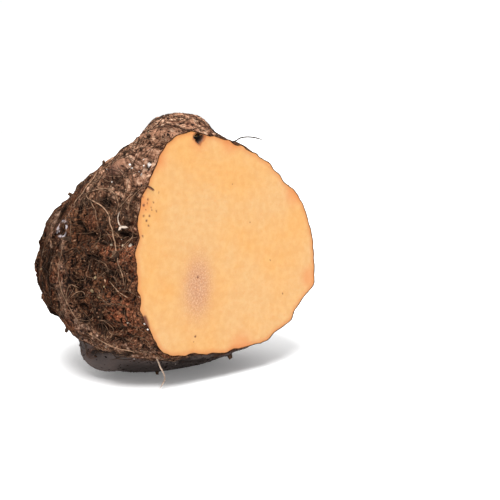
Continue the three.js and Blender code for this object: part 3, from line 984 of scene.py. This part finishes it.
# A reddish blush, and painted light on the swelling's top
BLUSH_AND_LIT_TOP = (0.36, 0.18, 0.11)
FIBRE = (0.27, 0.15, 0.085)
# Painted shade in the hollows
HOLLOW_SHADE = (0.005, 0.003, 0.0025)
SHADED_FOOT = (0.088, 0.071, 0.067)
# Dark patches, and painted shade and shadow
DARK_AND_SHADE = (0.006, 0.004, 0.003)
WAX = (0.52, 0.46, 0.48)
FIBRE_LINES = [(150, 0.022, 0.55), (260, 0.03, 0.5)]  # scale, width and strength

FLESH = [(0.40, (0.55, 0.288, 0.09)), (0.60, (0.53, 0.305, 0.12))]
FLESH_BLOTCHES = [(0.38, (0.97, 0.93, 0.88)), (0.62, (1.02, 1.05, 1.1))]
BRUISE_GRAINS = [(0.40, (0.32, 0.15, 0.09)), (0.52, (0.41, 0.21, 0.125)), (0.66, (0.52, 0.33, 0.21))]
FLESH_THREAD = (0.54, 0.22, 0.07)
STAIN = (0.52, 0.155, 0.04)
RIM = (0.47, 0.15, 0.04)
SPECK = (0.12, 0.035, 0.015)
ROT_EDGE = (0.25, 0.07, 0.018)
ROT = (0.015, 0.006, 0.004)

GRAIN_SHADES = [(0.38, (0.4, 0.38, 0.36)), (0.62, (1.25, 1.2, 1.15))]
TONES = {  # scale of the grain, roughness, bump, and colours from dark to pale
    "rootlet": (300, 0.8, 0.5, [
        (0.0, (0.02, 0.012, 0.009)), (0.4, (0.08, 0.045, 0.028)),
        (0.75, (0.34, 0.21, 0.135)), (1.0, (0.62, 0.52, 0.44)),
    ]),
    "scurf": (400, 0.85, 0.6, [
        (0.0, (0.008, 0.004, 0.003)), (0.45, (0.035, 0.016, 0.010)),
        (0.75, (0.12, 0.05, 0.028)), (1.0, (0.34, 0.20, 0.125)),
    ]),
    "pale_bit_and_glint": (250, 0.5, 0.3, [
        (0.0, (0.20, 0.14, 0.10)), (0.3, (0.26, 0.195, 0.11)),
        (0.9, (0.75, 0.70, 0.68)), (1.0, (0.9, 0.86, 0.84)),
    ]),
}


class Shading:
    """The nodes of a material or of the world. A value may be a socket, a number, a colour, or the name
    of a number that the mesh holds for each point."""

    def __init__(self, owner):
        owner.use_nodes = True
        self.owner = owner
        self.nodes, self.links = owner.node_tree.nodes, owner.node_tree.links

    def add(self, kind, **settings):
        node = self.nodes.new(kind)
        for key, value in settings.items():
            if key in node.inputs:
                node.inputs[key].default_value = value
            else:
                setattr(node, key, value)
        return node

    def put(self, value, socket):
        if isinstance(value, str):
            value = self.add("ShaderNodeAttribute", attribute_name=value).outputs["Fac"]
        if isinstance(value, bpy.types.NodeSocket):
            self.links.new(value, socket)
        elif socket.type == "RGBA":
            socket.default_value = (*value, 1)
        else:
            socket.default_value = value

    def place(self, kind="Object"):
        return self.add("ShaderNodeTexCoord").outputs[kind]

    def maths(self, operation, *values):
        node = self.add("ShaderNodeMath", operation=operation)
        for value, socket in zip(values, node.inputs):
            self.put(value, socket)
        return node.outputs[0]

    def ramp(self, value, stops):
        node = self.add("ShaderNodeValToRGB")
        elements = node.color_ramp.elements
        while len(elements) < len(stops):
            elements.new(0.5)
        for element, (place, colour) in zip(elements, stops):
            element.position = place
            element.color = (*colour, 1)
        self.put(value, node.inputs[0])
        return node.outputs[0]

    def mix(self, share, first, second, blend="MIX"):
        node = self.add("ShaderNodeMix", data_type="RGBA", blend_type=blend)
        for value, index in ((share, 0), (first, 6), (second, 7)):
            self.put(value, node.inputs[index])
        return node.outputs[2]

    def layers(self, colour, over):
        """The colour with others laid over it in turn: each is (share, colour)."""
        for share, upper in over:
            colour = self.mix(share, colour, upper)
        return colour

    def remap(self, *values):
        """A value from one range to another, which is 0 to 1 if it isn't given, with soft ends."""
        node = self.add("ShaderNodeMapRange", interpolation_type="SMOOTHSTEP")
        for value, socket in zip(values, node.inputs):
            self.put(value, socket)
        return node.outputs[0]

    def noise(self, scale, detail=4, rough=0.6):
        node = self.add("ShaderNodeTexNoise", Scale=scale, Detail=detail, Roughness=rough)
        self.put(self.place(), node.inputs["Vector"])
        return node.outputs[0]

    def thread_lines(self, scale, width):
        """1 along thin wandering lines, as strands lie, and 0 between them."""
        off_middle = self.maths("SUBTRACT", self.noise(scale, 2, 0.5), 0.5)
        return self.remap(self.maths("ABSOLUTE", off_middle), 0, width, 1, 0)

    def bump(self, height, strength, distance):
        node = self.add("ShaderNodeBump", Strength=strength, Distance=distance)
        self.put(height, node.inputs["Height"])
        return node.outputs[0]

    def surface(self, values):
        """The material, once the given sockets of its shader are filled."""
        for name, value in values.items():
            self.put(value, self.nodes["Principled BSDF"].inputs[name])
        return self.owner


def bark_material():
    bark = Shading(bpy.data.materials.new("bark"))
    tone = bark.maths("MULTIPLY_ADD", "strand", 0.16, bark.noise(270, 6, 0.7))
    brown = bark.layers(bark.ramp(bark.noise(60, 5), BROWNS), [
        (bark.remap(bark.noise(75, 5), 0.5, 0.64, 0, 0.6), RUST_FLECK),
        ("rust", RUST),
        # Lighter towards the crown, partly with a painted sheen
        (bark.remap("upper", 0, 1, 0, 0.9), bark.ramp(tone, CROWN_BROWNS_AND_SHEEN)),
        ("bud", bark.ramp(tone, BUD_BROWNS)),
        ("plum", PLUM),
        ("pale", bark.ramp(tone, PALE_BROWNS)),
        ("blush", BLUSH_AND_LIT_TOP),
    ])
    speckle = bark.ramp(bark.noise(520, 7, 0.8), SPECKLE)
    speckle = bark.mix(bark.remap("calm", 0, 1, 0, 0.85), speckle, (1, 1, 1))
    brown = bark.mix(1, brown, speckle, "MULTIPLY")
    for scale, width, most in FIBRE_LINES:
        broken = bark.remap(bark.noise(1.3 * scale, 2), 0.47, 0.56, 0, most)
        brown = bark.mix(bark.maths("MULTIPLY", bark.thread_lines(scale, width), broken), brown, FIBRE)
    brown = bark.layers(brown, [
        # Painted shade in the hollows and the deep hollows
        (bark.remap("hollow", -0.7, 0, 0.92, 0), HOLLOW_SHADE),
        (bark.remap("deep", -2.0, -0.4, 0.85, 0), HOLLOW_SHADE),
        # Painted shade: the underside's dull grey
        (bark.remap("under", 0, 0.8, 0, 0.93), SHADED_FOOT),
        # Dark patches, with painted shade in grooves, pits, the bud's crease and low down, and a painted
        # shadow
        ("dark", DARK_AND_SHADE),
        (bark.remap("wax", 0.2, 0.9, 0, 0.85), WAX),
    ])
    moist = bark.noise(70, 3)
    dry = bark.remap("dark", 0.1, 0.5, 1, 0)
    return bark.surface({
        "Base Color": brown,
        "Roughness": bark.remap(moist, 0.4, 0.68, 0.9, 0.6),
        "Specular IOR Level": 0,
        "Coat Weight": bark.maths("MULTIPLY", bark.remap(moist, 0.5, 0.62, 0, 0.05), dry),
        "Coat Roughness": 0.3,
        "Normal": bark.bump(bark.noise(850, 5, 0.7), 0.9, 0.0008),
    })


def flesh_material():
    flesh = Shading(bpy.data.materials.new("flesh"))
    blotches = flesh.ramp(flesh.noise(190, 5), FLESH_BLOTCHES)
    colour = flesh.mix(1, flesh.ramp(flesh.noise(16, 5), FLESH), blotches, "MULTIPLY")
    colour = flesh.layers(colour, [
        (flesh.remap("bruise", 0, 1, 0, 0.8), flesh.ramp(flesh.noise(800, 3), BRUISE_GRAINS)),
        (flesh.remap(flesh.noise(600), 0.55, 0.68, 0, 0.3), FLESH_THREAD),
        (flesh.remap("stain", 0, 1, 0, 0.5), STAIN),
        (flesh.remap("from_rim", 0.4, 5, 0.6, 0), RIM),
        ("speck", SPECK),
        (flesh.remap("rot_edge", 0, 1, 0, 0.8), ROT_EDGE),
        ("rot", ROT),
    ])
    return flesh.surface({
        "Base Color": colour,
        "Roughness": 0.55,
        "Specular IOR Level": 0.3,
        "Subsurface Weight": 0.15,
        "Subsurface Scale": 0.003,
        "Subsurface Radius": (1.0, 0.5, 0.25),
        "Normal": flesh.bump(flesh.noise(500, 3), 0.2, 0.0004),
    })


def tone_material(name):
    """A material whose colour follows the tone of each tube or scrap."""
    scale, roughness, bump, stops = TONES[name]
    toned = Shading(bpy.data.materials.new(name))
    grain = toned.noise(scale)
    return toned.surface({
        "Base Color": toned.mix(1, toned.ramp("tone", stops), toned.ramp(grain, GRAIN_SHADES), "MULTIPLY"),
        "Roughness": roughness,
        "Specular IOR Level": 0.1,
        "Normal": toned.bump(grain, bump, 0.0003),
    })


# Stage, lights and camera

def add_soft_sun(name, azimuth, elevation, angle, strength):
    """A soft light from far off: azimuth 0 is in front of the cut, 90 to its right."""
    data = bpy.data.lights.new(name, "SUN")
    data.angle = math.radians(angle)
    data.energy = strength
    add_object(name, data).rotation_euler = direction(azimuth, elevation).to_track_quat("Z", "Y").to_euler()


def direction(azimuth, elevation):
    a, e = math.radians(azimuth), math.radians(elevation)
    return Vector((math.sin(a) * math.cos(e), -math.cos(a) * math.cos(e), math.sin(e)))


def make_world():
    """A white room: brighter overhead, and dimmer on the side that the camera stands."""
    world = Shading(bpy.data.worlds.new("studio"))
    ahead = world.add("ShaderNodeVectorMath", operation="DOT_PRODUCT")
    world.put(world.place("Generated"), ahead.inputs[0])
    world.put(-direction(CAMERA_AZIMUTH, 0), ahead.inputs[1])
    split = world.add("ShaderNodeSeparateXYZ")
    world.put(world.place("Generated"), split.inputs[0])
    height = split.outputs[2]
    level = world.remap(ahead.outputs["Value"], -0.3, 0.6, ROOM_DIMMEST, ROOM_WHITE)
    level = world.maths("MAXIMUM", level, world.remap(height, 0.2, 0.9, 0, ROOM_OVERHEAD))
    level = world.maths("MAXIMUM", level, world.remap(height, 0.14, 0.24, ROOM_WHITE, 0))
    background = world.nodes["Background"]
    world.put((1, 1, 1), background.inputs["Color"])
    world.put(level, background.inputs["Strength"])
    bpy.context.scene.world = world.owner


def make_stage():
    white = Shading(bpy.data.materials.new("studio_white"))
    mesh = bpy.data.meshes.new("floor")
    mesh.from_pydata([(x * FLOOR_HALF, y * FLOOR_HALF, 0) for x, y in FLOOR_CORNERS], [], [(0, 1, 2, 3)])
    mesh.materials.append(white.surface({
        "Base Color": (0.86, 0.86, 0.86),
        "Roughness": 0.9,
        "Emission Color": (1, 1, 1),
        "Emission Strength": FLOOR_GLOW,
    }))
    add_object("floor", mesh)
    make_world()
    bpy.context.scene.view_settings.view_transform = "Standard"
    add_soft_sun("key", *KEY_FROM, KEY_ANGLE, KEY_STRENGTH)


def make_camera():
    data = bpy.data.cameras.new("camera")
    data.lens = CAMERA_LENS
    data.sensor_width = 36
    data.clip_start = 0.01
    camera = add_object("camera", data)
    back = direction(CAMERA_AZIMUTH, CAMERA_ELEVATION)
    camera.location = (Vector(CAMERA_TARGET) + back * CAMERA_DISTANCE) * MM
    camera.rotation_euler = back.to_track_quat("Z", "Y").to_euler()
    bpy.context.scene.camera = camera


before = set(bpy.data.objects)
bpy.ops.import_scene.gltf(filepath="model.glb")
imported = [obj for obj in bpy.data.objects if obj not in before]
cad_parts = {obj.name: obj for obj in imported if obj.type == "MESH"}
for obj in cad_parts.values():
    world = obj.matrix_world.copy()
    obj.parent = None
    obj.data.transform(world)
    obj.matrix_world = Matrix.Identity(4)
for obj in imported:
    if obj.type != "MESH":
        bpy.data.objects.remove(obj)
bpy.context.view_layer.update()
CUT_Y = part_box("corm")[0].y / MM
dice = np.random.default_rng(SEED)

make_camera()
make_stage()
cad_tree = corm_tree()
bark_skin, rim, rim_inward = make_skin(cad_tree)
make_flesh(cad_tree, rim, rim_inward)
make_rootlets(bark_skin)
make_stubs(cad_tree, bark_skin)
make_scurf(bark_skin)
